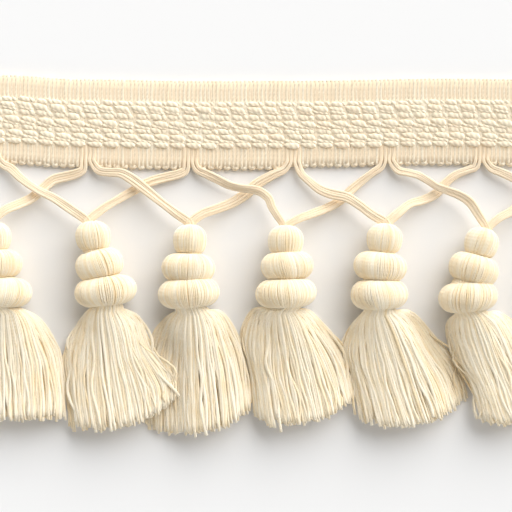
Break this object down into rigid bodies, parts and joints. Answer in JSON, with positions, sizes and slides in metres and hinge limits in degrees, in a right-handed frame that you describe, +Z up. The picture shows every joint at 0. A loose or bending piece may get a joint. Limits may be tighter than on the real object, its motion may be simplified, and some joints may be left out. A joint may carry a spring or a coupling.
{
  "type": "tassel fringe",
  "caption": "Ivory cotton tassel fringe: a woven braid heading with a trellis of hanger cords, each carrying a tied three-tier tassel with a loose thread skirt.",
  "frame": {"origin": "middle of the heading's flat back", "axes": "+X along the heading, the tassels towards -Y, +Z up out of the face"},
  "size_m": [0.234, 0.1036, 0.0141],
  "materials": {
    "heading": "woven ivory cotton, matt",
    "hanger": "plied ivory cotton cord, matt",
    "tassel": "loose ivory cotton thread, soft lustre"
  },
  "bodies": {
    "root": {"heading": "heading", "hanger_1": "hanger", "hanger_2": "hanger", "hanger_3": "hanger", "hanger_4": "hanger", "hanger_5": "hanger", "hanger_6": "hanger", "hanger_7": "hanger", "tassel_1": "tassel", "tassel_2": "tassel", "tassel_3": "tassel", "tassel_4": "tassel", "tassel_5": "tassel", "tassel_6": "tassel", "tassel_7": "tassel"}
  },
  "joints": []
}
